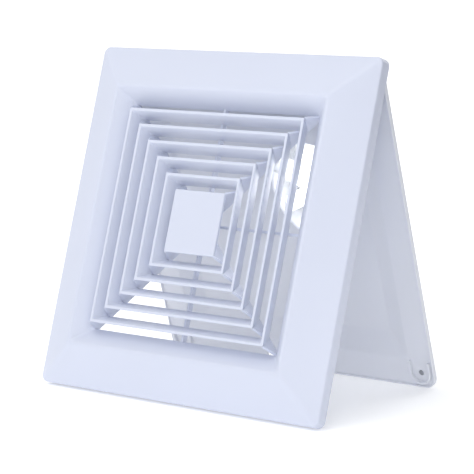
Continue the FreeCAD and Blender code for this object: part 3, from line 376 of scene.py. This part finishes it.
def plasticLook(color, roughness, **changes):
    # edge: how much lighter the painted highlight makes convex edges
    look = {"color": color, "roughness": roughness, "cloud": 0.012, "cloudScale": 9, "edge": 0.03,
            "grainScale": 2600, "grain": 0.12, "waveScale": 16, "waveHeight": 0.0001, "glow": 0.05}
    return look | changes


plastics = {
    "cover_plastic": plasticLook((0.615, 0.650, 0.765), 0.36, waveHeight=0.00001),
    "plate_plastic": plasticLook((0.73, 0.75, 0.81), 0.36),
    "fan_plastic": plasticLook((0.84, 0.86, 0.90), 0.45, grain=0.3),
    "impeller_plastic": plasticLook((0.90, 0.92, 0.94), 0.28),
    "flap_plastic": plasticLook((0.88, 0.90, 0.93), 0.40, glow=0.35, clear=0.45),
    "block_plastic": plasticLook((0.62, 0.62, 0.58), 0.50, grain=0.4),
    "lead_sheath": plasticLook((0.70, 0.71, 0.73), 0.42),
}
metals = {
    "steel": {"color": (0.58, 0.58, 0.60), "roughness": 0.30, "tarnishScale": 60, "lineScale": 900,
              "stretch": (1, 0.1, 1)},
    "motor_steel": {"color": (0.50, 0.51, 0.54), "roughness": 0.38, "tarnishScale": 40, "lineScale": 700,
                    "stretch": (0.2, 1, 1)},
    "brass": {"color": (0.80, 0.60, 0.28), "roughness": 0.28, "tarnishScale": 80, "lineScale": 900,
              "stretch": (1, 0.2, 1)},
    "capacitor_case": {"color": (0.68, 0.69, 0.72), "roughness": 0.33, "tarnishScale": 50, "lineScale": 800,
                       "stretch": (0.1, 1, 1)},
}
foams = {
    "foam": {"color": (0.045, 0.045, 0.05), "roughness": 0.9, "cellScale": 1400, "bump": 0.8},
    "grommet_rubber": {"color": (0.025, 0.025, 0.028), "roughness": 0.6, "cellScale": 3000, "bump": 0.2},
}
bandeds = {
    "core_steel": {"color": (0.20, 0.20, 0.22), "roughness": 0.45, "bandScale": 320, "distortion": 0,
                   "direction": "Y"},
    "copper": {"color": (0.72, 0.30, 0.13), "roughness": 0.30, "bandScale": 420, "distortion": 1.5,
               "direction": "X"},
}
materials = {}
for looks, make in ((plastics, plasticMaterial), (metals, metalMaterial), (foams, foamMaterial),
                    (bandeds, bandedMaterial)):
    for slotName, look in looks.items():
        materials[slotName] = make(slotName, look)

for part in frame["record"]["subparts"]:
    node = frame["nodes"][part["node"]]
    node.data.materials.clear()
    node.data.materials.append(materials[part["material_slot"]])
print("stage: materials made and given to every carried-over node")


# cover frame: skirt, sloping border, crest and the inner wall that slants back

coverShape = {
    "skirtDepth": 10.0, "wall": 2.0, "corner": 6.0, "borderWidth": 37.5, "crestHeight": 15.0,
    "borderDrop": 14.2, "crestFillet": 1.6, "edgeFillet": 1.2, "crestCorner": 3.0, "footCorner": 1.5,
    "skirtFillet": 0.5, "footFillet": 0.5, "insideFillet": 0.8, "skirtInsideFillet": 0.4, "pegChamfer": 1.0,
    "crestInnerShare": 0.6, "insideRun": 0.9, "insideDrop": 0.2, "pegOverlap": 0.5,
    "knuckleSpacing": 180.0, "knuckleWidth": 6.0, "knuckleRadius": 2.8, "knuckleBore": 1.55,
    "pegSpacing": 60.0, "pegWidth": 8.0, "pegWall": 2.0, "pegHeight": 13.0, "pegReach": 12.0,
}


def buildCover():
    shape = coverShape
    half = coverSide / 2
    centre = (0, half)
    slant = shape["wall"] * math.sqrt(2)
    crest = half - shape["borderWidth"]
    crestOut = crest + slant
    foot = crest - shape["borderDrop"]
    footLevel = shape["crestHeight"] - shape["borderDrop"]
    run = half - crestOut
    drop = shape["wall"] * math.hypot(1, shape["crestHeight"] / run)
    underSkirt = shape["wall"] * shape["crestHeight"] / run - drop
    skirtIn = half - shape["wall"]
    top = shape["crestHeight"]
    crestUnder = top - drop
    edge, corner = shape["edgeFillet"], shape["corner"]
    mesh = bmesh.new()
    sweptFrame(mesh, [
        (half, -shape["skirtDepth"], shape["skirtFillet"], corner), (half, 0, edge, corner),
        (crestOut, top, shape["crestFillet"], shape["crestCorner"]),
        (crest, top, shape["crestFillet"] * shape["crestInnerShare"], shape["crestCorner"]),
        (foot, footLevel, shape["footFillet"], shape["footCorner"]),
        (foot + slant, footLevel, shape["footFillet"], shape["footCorner"]),
        (crestOut - drop * shape["insideRun"], crestUnder - drop * shape["insideDrop"],
         shape["insideFillet"], shape["crestCorner"]),
        (skirtIn, underSkirt, shape["insideFillet"], corner - shape["wall"]),
        (skirtIn, -shape["skirtDepth"], shape["skirtInsideFillet"], corner - shape["wall"])], centre)
    for side in (-1, 1):
        addKnuckle(mesh, side * shape["knuckleSpacing"] / 2, coverHinge, -panelPlaces["hingeLevel"])
        underBorder = (half - abs(shape["pegHeight"] - half)) * shape["crestHeight"] / run
        pegTop = underBorder - drop * shape["pegOverlap"]
        width, end, chamfer = shape["pegWidth"] / 2, -shape["pegReach"], shape["pegChamfer"]
        prism(mesh, [(-width, pegTop), (-width, end + chamfer), (chamfer - width, end),
                     (width - chamfer, end), (width, end + chamfer), (width, pegTop)],
              shape["pegWall"], Matrix.Translation((side * shape["pegSpacing"] / 2, shape["pegHeight"], 0)))
    return finishedPiece("coverFrame", mesh, coverMatrix, "cover",
                         materials["cover_plastic"], ["cover_frame"])


def addKnuckle(mesh, x, y, level):  # a hinge knuckle with its arm up to the skirt, bored for the pin
    shape = coverShape
    radius, bore, steps = shape["knuckleRadius"], shape["knuckleBore"], 24
    reach = coverSide - shape["wall"] / 2 - y
    outer, inner = [], []
    for n in range(steps):
        angle = 2 * math.pi * n / steps
        up, out = math.cos(angle), math.sin(angle)
        armed = up > 0.01  # the upper half runs on as the arm
        outer.append((reach, math.copysign(radius, out)) if armed else (radius * up, radius * out))
        inner.append((bore * up, bore * out))
    ends = [x - shape["knuckleWidth"] / 2, x + shape["knuckleWidth"] / 2]
    skinBetween(mesh, ends, y, level, outer, inner)


buildCover()
print("stage: cover frame built")


# louvred grille: square rings that slant to the middle, ribs behind them and a centre square

grilleShape = {
    "ringCount": 5, "firstGap": 18.5, "pitch": 13.44, "depth": 14.0, "inset": 5.5, "wall": 2.4,
    "ringCorner": 1.2, "frontFillet": 0.9, "ribWall": 2.0, "ribSetback": 13.0, "ribDepth": 5.0,
    "centreWall": 3.0, "centrePost": 8.0, "centreCorner": 2.0, "centreFillet": 1.0, "centreCrown": 0.35,
    "backFillet": 0.4, "innerFilletShare": 0.7, "webSetback": 0.2, "centreChamfer": 0.5,
    "crownShares": (0.8, 0.5, 0.2), "crownFlatness": 0.5,
}


def buildGrille():
    shape, cover = grilleShape, coverShape
    half = coverSide / 2
    centre = (0, half)
    crest = half - cover["borderWidth"]
    top = cover["crestHeight"]
    mesh = bmesh.new()
    slant = shape["wall"] * math.hypot(1, shape["inset"] / shape["depth"])
    back = top - shape["depth"]
    for n in range(shape["ringCount"]):
        ring = crest - shape["firstGap"] - n * shape["pitch"]
        sweptFrame(mesh, [
            (ring, top, shape["frontFillet"], shape["ringCorner"]),
            (ring - slant, top, shape["frontFillet"] * shape["innerFilletShare"], shape["ringCorner"]),
            (ring - slant - shape["inset"], back, shape["backFillet"], shape["ringCorner"]),
            (ring - shape["inset"], back, shape["backFillet"], shape["ringCorner"])], centre)
    middle = crest - shape["firstGap"] - shape["ringCount"] * shape["pitch"]
    addCentreSquare(mesh, middle, top, centre)
    ribFront = top - shape["ribSetback"]
    ribBack = ribFront - shape["ribDepth"]
    foot = crest - cover["borderDrop"]
    footLevel = top - cover["borderDrop"]
    ribEnd = foot + cover["wall"] * math.sqrt(2)
    straight = [(ribEnd, ribBack), (ribEnd, footLevel), (foot, footLevel),
                (foot + ribFront - footLevel, ribFront)]
    webbed = [(ribEnd, ribBack), (ribEnd, footLevel), (foot, footLevel)]
    for n in range(shape["ringCount"]):
        ring = crest - shape["firstGap"] - n * shape["pitch"]
        webbed += [(ring, top - shape["webSetback"]), (ring - shape["inset"] - slant / 2, back),
                   (ring - shape["inset"] - slant, back)]
    webbed += [(middle, top - shape["centreWall"] / 2), (0.1, top - shape["centreWall"] / 2)]
    for n in range(4):  # upright, diagonal, level, diagonal
        side = webbed if n % 2 else straight
        stretch = math.sqrt(2) if n % 2 else 1
        outline = [(x * stretch, z) for x, z in side] + [(-x * stretch, z) for x, z in reversed(side)]
        place = Matrix.Translation((0, half, 0)) @ Matrix.Rotation(math.radians(45 * n), 4, "Z")
        prism(mesh, outline, shape["ribWall"], place)
    return finishedPiece("louvreGrille", mesh, coverMatrix, "cover",
                         materials["cover_plastic"], ["louvre_core"])


def addCentreSquare(mesh, middle, top, centre):
    shape = grilleShape
    fillet, chamfer = shape["centreFillet"], shape["centreChamfer"]
    back = top - shape["centreWall"]
    post = shape["centrePost"]
    blockAt(mesh, (-post, centre[1] - post, top - shape["ribSetback"] - shape["ribDepth"]),
            (post, centre[1] + post, back + chamfer))
    loops = [squareLoop(middle - chamfer, back, shape["centreCorner"], centre),
             squareLoop(middle, back + chamfer, shape["centreCorner"], centre)]
    filletSteps = 3
    for step in range(filletSteps + 1):
        angle = math.pi / 2 * step / filletSteps
        loops.append(squareLoop(middle - fillet * (1 - math.cos(angle)),
                                top - fillet * (1 - math.sin(angle)), shape["centreCorner"], centre))
    for share in shape["crownShares"]:
        rise = shape["centreCrown"] * (1 - share ** 2) * shape["crownFlatness"]
        loops.append(squareLoop(middle * share, top + rise,
                                shape["centreCorner"] * share, centre))
    rows = skin(mesh, loops, closed=False)
    mesh.faces.new(rows[-1])
    mesh.faces.new(list(reversed(rows[0])))


buildGrille()
print("stage: louvred grille built")


# back plate: rim, flange, sloping step, recessed field with the round opening

plateShape = {
    "wall": 2.5, "corner": 10.0, "lipHeight": 1.5, "lipWall": 1.5, "flange": 25.0, "bevel": 20.0,
    "recess": 8.0, "stepCorner": 7.0, "fieldCorner": 4.0, "openingRadius": 44.0, "rollRadius": 1.0,
    "fixingInset": 13.5, "fixingRadius": 2.5, "bossRadius": 10.5, "bossWall": 2.0, "bossHeight": 3.0,
    "bossFoot": 0.5, "bossFillet": 0.4, "bossTopShare": 0.2,
    "postRadius": 7.0, "postChamfer": 0.5, "pinRadius": 1.5, "pinBoss": 5.4, "notchGap": 0.6, "pegGap": 1.2,
    "rimFillet": 0.5, "lipFillet": 0.7, "lipFootFillet": 0.8, "stepFillet": 1.6, "backStepFillet": 1.2,
    "fieldMargin": 3.0, "rollShare": 0.3, "cutDepth": 5.0, "notchHeight": 8.0, "notchPast": 2.0,
    "pegCutHeight": 2.0, "fixingCutDepth": 20.0, "bossSink": 0.6,
}


def fanPlace():  # the fan's axis, across and up the plate
    outside = Vector(namedItem(frame["record"]["mounts"], "duct_spigot_outside")["pos_m"])
    return (plateMatrix.inverted() @ outside).to_2d()


def buildPlate():
    shape = plateShape
    half = plateSide / 2
    centre = (0, half)
    fan = fanPlace()
    step, field = half - shape["flange"], half - shape["flange"] - shape["bevel"]
    margin = shape["fieldMargin"]
    lip, wall, recess, corner = shape["lipHeight"], shape["wall"], shape["recess"], shape["corner"]
    lipIn = half - shape["lipWall"]
    outside = roundedProfile([
        (half, -wall, shape["rimFillet"], corner), (half, lip, shape["lipFillet"], corner),
        (lipIn, lip, shape["lipFillet"], corner - shape["lipWall"]),
        (lipIn, 0, shape["lipFootFillet"], corner - shape["lipWall"]),
        (step, 0, shape["stepFillet"], shape["stepCorner"]),
        (field, -recess, shape["stepFillet"], shape["fieldCorner"]),
        (field - margin, -recess, 0, shape["fieldCorner"])])
    inside = roundedProfile([
        (field - margin, -recess - wall, 0, shape["fieldCorner"]),
        (field, -recess - wall, shape["backStepFillet"], shape["fieldCorner"]),
        (step, -wall, shape["backStepFillet"], shape["stepCorner"]),
        (step + margin, -wall, 0, shape["stepCorner"])])
    radius, roll = shape["openingRadius"], shape["rollRadius"]
    rolled = roll * shape["rollShare"]
    hole = [circleLoop(radius + roll, -recess, fan), circleLoop(radius + rolled, -recess - rolled, fan),
            circleLoop(radius, -recess - roll, fan), circleLoop(radius, -recess - wall, fan)]
    mesh = bmesh.new()
    skin(mesh, [squareLoop(a, b, c, centre) for a, b, c in outside] + hole
         + [squareLoop(a, b, c, centre) for a, b, c in inside])
    plate = finishedPiece("backPlate", mesh, plateMatrix, "plate",
                          materials["plate_plastic"], ["back_plate"])
    bakedCut(plate, plateCuts(half), plateMatrix)
    addPlateBosses(plate, half)
    return plate


def fixingPlaces(half):
    across = half - plateShape["fixingInset"]
    return [(x * across, half + y * across, y) for x in (-1, 1) for y in (-1, 1)]


def rodAt(mesh, x, y, low, high, radius, steps=32):
    bmesh.ops.create_cone(mesh, cap_ends=True, segments=steps, radius1=radius, radius2=radius,
                          depth=high - low, matrix=Matrix.Translation((x, y, (low + high) / 2)))


def plateCuts(half):  # notches for the knuckles, slots for the pegs and the fixing holes
    shape, cover = plateShape, coverShape
    mesh = bmesh.new()
    hingeUp = coverHinge - panelPlaces["panelGap"]
    notch = cover["knuckleWidth"] / 2 + shape["notchGap"]
    for side in (-1, 1):
        x = side * cover["knuckleSpacing"] / 2
        blockAt(mesh, (x - notch, hingeUp - cover["knuckleRadius"] - cover["wall"], -shape["cutDepth"]),
                (x + notch, plateSide + shape["notchPast"], shape["notchHeight"]))
        pegX, pegY = side * cover["pegSpacing"] / 2, cover["pegHeight"] - panelPlaces["panelGap"]
        pegAcross, pegUp = cover["pegWidth"] / 2 + shape["pegGap"], cover["pegWall"] / 2 + shape["pegGap"]
        blockAt(mesh, (pegX - pegAcross, pegY - pegUp, -shape["cutDepth"]),
                (pegX + pegAcross, pegY + pegUp, shape["pegCutHeight"]))
    for x, y, _ in fixingPlaces(half):
        rodAt(mesh, x, y, -shape["fixingCutDepth"], shape["notchHeight"], shape["fixingRadius"])
    return mesh


def addPlateBosses(plate, half):  # join the corner walls, posts and pin bosses to the plate
    shape, cover = plateShape, coverShape
    back = -shape["recess"] - shape["wall"]
    mesh = bmesh.new()
    for x, y, side in fixingPlaces(half):
        post, hole, sink, chamfer = (shape[key] for key in (
            "postRadius", "fixingRadius", "bossSink", "postChamfer"))
        tubeAlong(mesh, [(hole, -sink), (hole, back), (post - chamfer, back), (post, back + chamfer),
                         (post, -sink)], Matrix.Translation((x, y, 0)))
        addCornerWall(mesh, x, y, side)
    hingeUp = coverHinge - panelPlaces["panelGap"]
    for side in (-1, 1):
        for way in (-1, 1):
            notch = cover["knuckleWidth"] / 2 + shape["notchGap"]
            near = side * cover["knuckleSpacing"] / 2 + way * notch
            addPinBoss(mesh, min(near, near + way * shape["pinBoss"]), hingeUp)
    bmesh.ops.recalc_face_normals(mesh, faces=mesh.faces)
    extra = bpy.data.meshes.new("plateBosses")
    mesh.to_mesh(extra)
    mesh.free()
    extra.transform(plateMatrix)
    whole = bmesh.new()
    whole.from_mesh(plate.data)
    whole.from_mesh(extra)
    whole.to_mesh(plate.data)
    whole.free()
    bpy.data.meshes.remove(extra)
    smoothPiece(plate)


def addCornerWall(mesh, x, y, side):  # the U-shaped wall round a fixing hole, open towards the plate's middle
    shape = plateShape
    reach = shape["flange"] - shape["bossWall"] / 2 - shape["fixingInset"]
    outer, thickness, top = shape["bossRadius"], shape["bossWall"], shape["bossHeight"]
    share, foot, shoulder = shape["bossTopShare"], -shape["bossFoot"], top - shape["bossFillet"]
    steps = 20
    rows = []
    for n in range(-1, steps + 2):
        if n in (-1, steps + 1):
            across, along = (1 if n < 0 else -1), -side * reach
            rows.append([(across * radius, along) for radius in (outer, outer - thickness)])
            continue
        angle = math.pi * n / steps
        rows.append([(radius * math.cos(angle), side * radius * math.sin(angle))
                     for radius in (outer, outer - thickness)])
    loops = []
    for (outX, outY), (inX, inY) in rows:
        softX, softY = (outX - inX) * share, (outY - inY) * share
        loops.append([Vector((x + outX, y + outY, foot)), Vector((x + outX, y + outY, shoulder)),
                      Vector((x + outX - softX, y + outY - softY, top)),
                      Vector((x + inX + softX, y + inY + softY, top)),
                      Vector((x + inX, y + inY, shoulder)), Vector((x + inX, y + inY, foot))])
    made = skin(mesh, loops, closed=False)
    mesh.faces.new(made[0])
    mesh.faces.new(list(reversed(made[-1])))


def addPinBoss(mesh, x, y):  # a bored boss for the hinge pin, standing on the plate
    shape, radius = plateShape, coverShape["knuckleRadius"]
    level, steps = panelPlaces["hingePlay"], 24
    outer, inner = [], []
    for n in range(steps):
        angle = 2 * math.pi * n / steps
        across, out = math.cos(angle), math.sin(angle)
        outer.append((radius * across, radius * out) if out > -0.01
                     else (radius * (1 if across > 0 else -1), -level - shape["wall"] / 2))
        inner.append((shape["pinRadius"] * across, shape["pinRadius"] * out))
    ends = [x, x + shape["pinBoss"]]
    skinBetween(mesh, ends, y, level, outer, inner)


buildPlate()
print("stage: back plate built")


# floor, light and camera

stageLook = {
    "floorSize": 120.0, "floorColor": (0.94, 0.945, 0.95, 1), "floorShade": 0.995, "floorGlow": 0.25,
    "paperRoughness": 0.9, "paperGloss": 0.1, "lampAim": (0, 0, 0.12),
    "worldColor": (0.985, 0.99, 1.0, 1),
    "worldFrom": (-0.12, -0.16, 0.98), "worldDim": 0.33, "worldBright": 1.17,
    "flagPlace": (0.6, 0.45, 0.75), "flagSize": 1.3, "flagColor": (0.15, 0.15, 0.16, 1),
    "keyPlace": (-0.4, -1.1, 2.4), "keySize": 1.4, "keyPower": 8.5,
    "fillPlace": (1.0, -1.3, 0.55), "fillSize": 0.8, "fillPower": 3.5,
    "wedgeSize": (0.25, 0.2), "wedgePlace": (0, 140, -30), "wedgePower": 0.004,
    "backPlace": (0.3, 2.2, 1.5), "backSize": 2.0, "backPower": 12,
    "ductLightDepth": -9.5, "ductLightSize": 0.07, "ductLightPower": 0.05,
    "cameraPlace": (1.12234, -1.39080, 0.41484), "cameraTurn": -39.054, "cameraDip": -9.079,
    "cameraRoll": -1.168, "lens": 161.0, "sensorWidth": 36, "clipStart": 0.05, "clipEnd": 50,
}


def buildFloor():
    look = stageLook
    bpy.ops.mesh.primitive_plane_add(size=look["floorSize"], location=(0, 0, 0))
    floor = bpy.context.object
    floor.name = "floor"
    material, tree, shader = newMaterial("floorPaper")
    paper = noiseField(tree, 3, 2)
    base = rampBetween(tree, paper.outputs["Fac"], tinted(look["floorColor"][:3], look["floorShade"]),
                       look["floorColor"])
    tree.links.new(base.outputs["Color"], shader.inputs["Base Color"])
    shader.inputs["Roughness"].default_value = look["paperRoughness"]
    shader.inputs["Specular IOR Level"].default_value = look["paperGloss"]
    shader.inputs["Emission Color"].default_value = (1, 1, 1, 1)
    shader.inputs["Emission Strength"].default_value = look["floorGlow"]
    floor.data.materials.append(material)


def addLight(name, place, size, power):
    light = bpy.data.lights.new(name, "AREA")
    light.shape, light.size, light.energy = "DISK", size, power
    lamp = bpy.data.objects.new(name, light)
    lamp.location = place
    lamp.rotation_euler = (Vector(stageLook["lampAim"]) - Vector(place)).to_track_quat("-Z", "Y").to_euler()
    bpy.context.scene.collection.objects.link(lamp)


def lightWorld(tree):  # a white room that is brighter towards one side of its ceiling
    look = stageLook
    background = tree.nodes["Background"]
    background.inputs["Color"].default_value = look["worldColor"]
    coordinates = addNode(tree, "ShaderNodeTexCoord")
    towards = addNode(tree, "ShaderNodeVectorMath", {"operation": "DOT_PRODUCT"})
    towards.inputs[1].default_value = Vector(look["worldFrom"]).normalized()
    span = addNode(tree, "ShaderNodeMapRange")
    span.inputs["From Min"].default_value = -0.5
    span.inputs["To Min"].default_value = look["worldDim"]
    span.inputs["To Max"].default_value = look["worldBright"]
    tree.links.new(coordinates.outputs["Generated"], towards.inputs[0])
    tree.links.new(towards.outputs["Value"], span.inputs["Value"])
    tree.links.new(span.outputs["Result"], background.inputs["Strength"])


def addDuctLight():  # a small lamp at the mouth of the duct that lights the fan and the flaps
    look = stageLook
    lamp = bpy.data.objects.new("ductLight", bpy.data.lights.new("ductLight", "AREA"))
    lamp.data.shape, lamp.data.size, lamp.data.energy = "DISK", look["ductLightSize"], look["ductLightPower"]
    lamp.matrix_world = plateMatrix.normalized()
    lamp.location = plateMatrix @ Vector((*fanPlace(), look["ductLightDepth"]))
    lamp.visible_camera = False
    bpy.context.scene.collection.objects.link(lamp)


def addFlag():  # a dark card outside the picture that shades the right-hand side
    look = stageLook
    bpy.ops.mesh.primitive_plane_add(size=look["flagSize"], location=look["flagPlace"],
                                     rotation=(0, math.pi / 2, 0))
    card = bpy.context.object
    card.name = "flag"
    card.visible_camera = False
    material, _, shader = newMaterial("flagCard")
    shader.inputs["Base Color"].default_value = look["flagColor"]
    shader.inputs["Roughness"].default_value = look["paperRoughness"]
    card.data.materials.append(material)


def addWedgeLight():  # a large soft light between the panels that faces the back plate
    look = stageLook
    light = bpy.data.lights.new("wedge", "AREA")
    light.shape, light.energy = "RECTANGLE", look["wedgePower"]
    light.size, light.size_y = look["wedgeSize"]
    lamp = bpy.data.objects.new("wedge", light)
    lamp.matrix_world = coverMatrix.normalized()
    lamp.location = coverMatrix @ Vector(look["wedgePlace"])
    lamp.visible_camera = False
    bpy.context.scene.collection.objects.link(lamp)


def buildStage():
    look, scene = stageLook, bpy.context.scene
    buildFloor()
    world = bpy.data.worlds.new("studio")
    world.use_nodes = True
    lightWorld(world.node_tree)
    scene.world = world
    addDuctLight()
    addWedgeLight()
    addFlag()
    for name in ("key", "fill", "back"):
        addLight(name, look[name + "Place"], look[name + "Size"], look[name + "Power"])
    scene.view_settings.view_transform = "Standard"
    scene.view_settings.look = "None"
    camera = bpy.data.cameras.new("camera")
    camera.lens, camera.sensor_width = look["lens"], look["sensorWidth"]
    camera.clip_start, camera.clip_end = look["clipStart"], look["clipEnd"]
    eye = bpy.data.objects.new("camera", camera)
    turn, dip = math.radians(look["cameraTurn"]), math.radians(look["cameraDip"])
    forward = Vector((math.sin(turn) * math.cos(dip), math.cos(turn) * math.cos(dip), math.sin(dip)))
    level = forward.cross(Vector((0, 0, 1))).normalized()
    up = level.cross(forward)
    roll = math.radians(look["cameraRoll"])
    right = level * math.cos(roll) + up * math.sin(roll)
    top = up * math.cos(roll) - level * math.sin(roll)
    aimed = Matrix((right, top, -forward)).transposed().to_4x4()
    eye.matrix_world = Matrix.Translation(look["cameraPlace"]) @ aimed
    scene.collection.objects.link(eye)
    scene.camera = eye


buildStage()
print("stage: floor, lights and camera set")
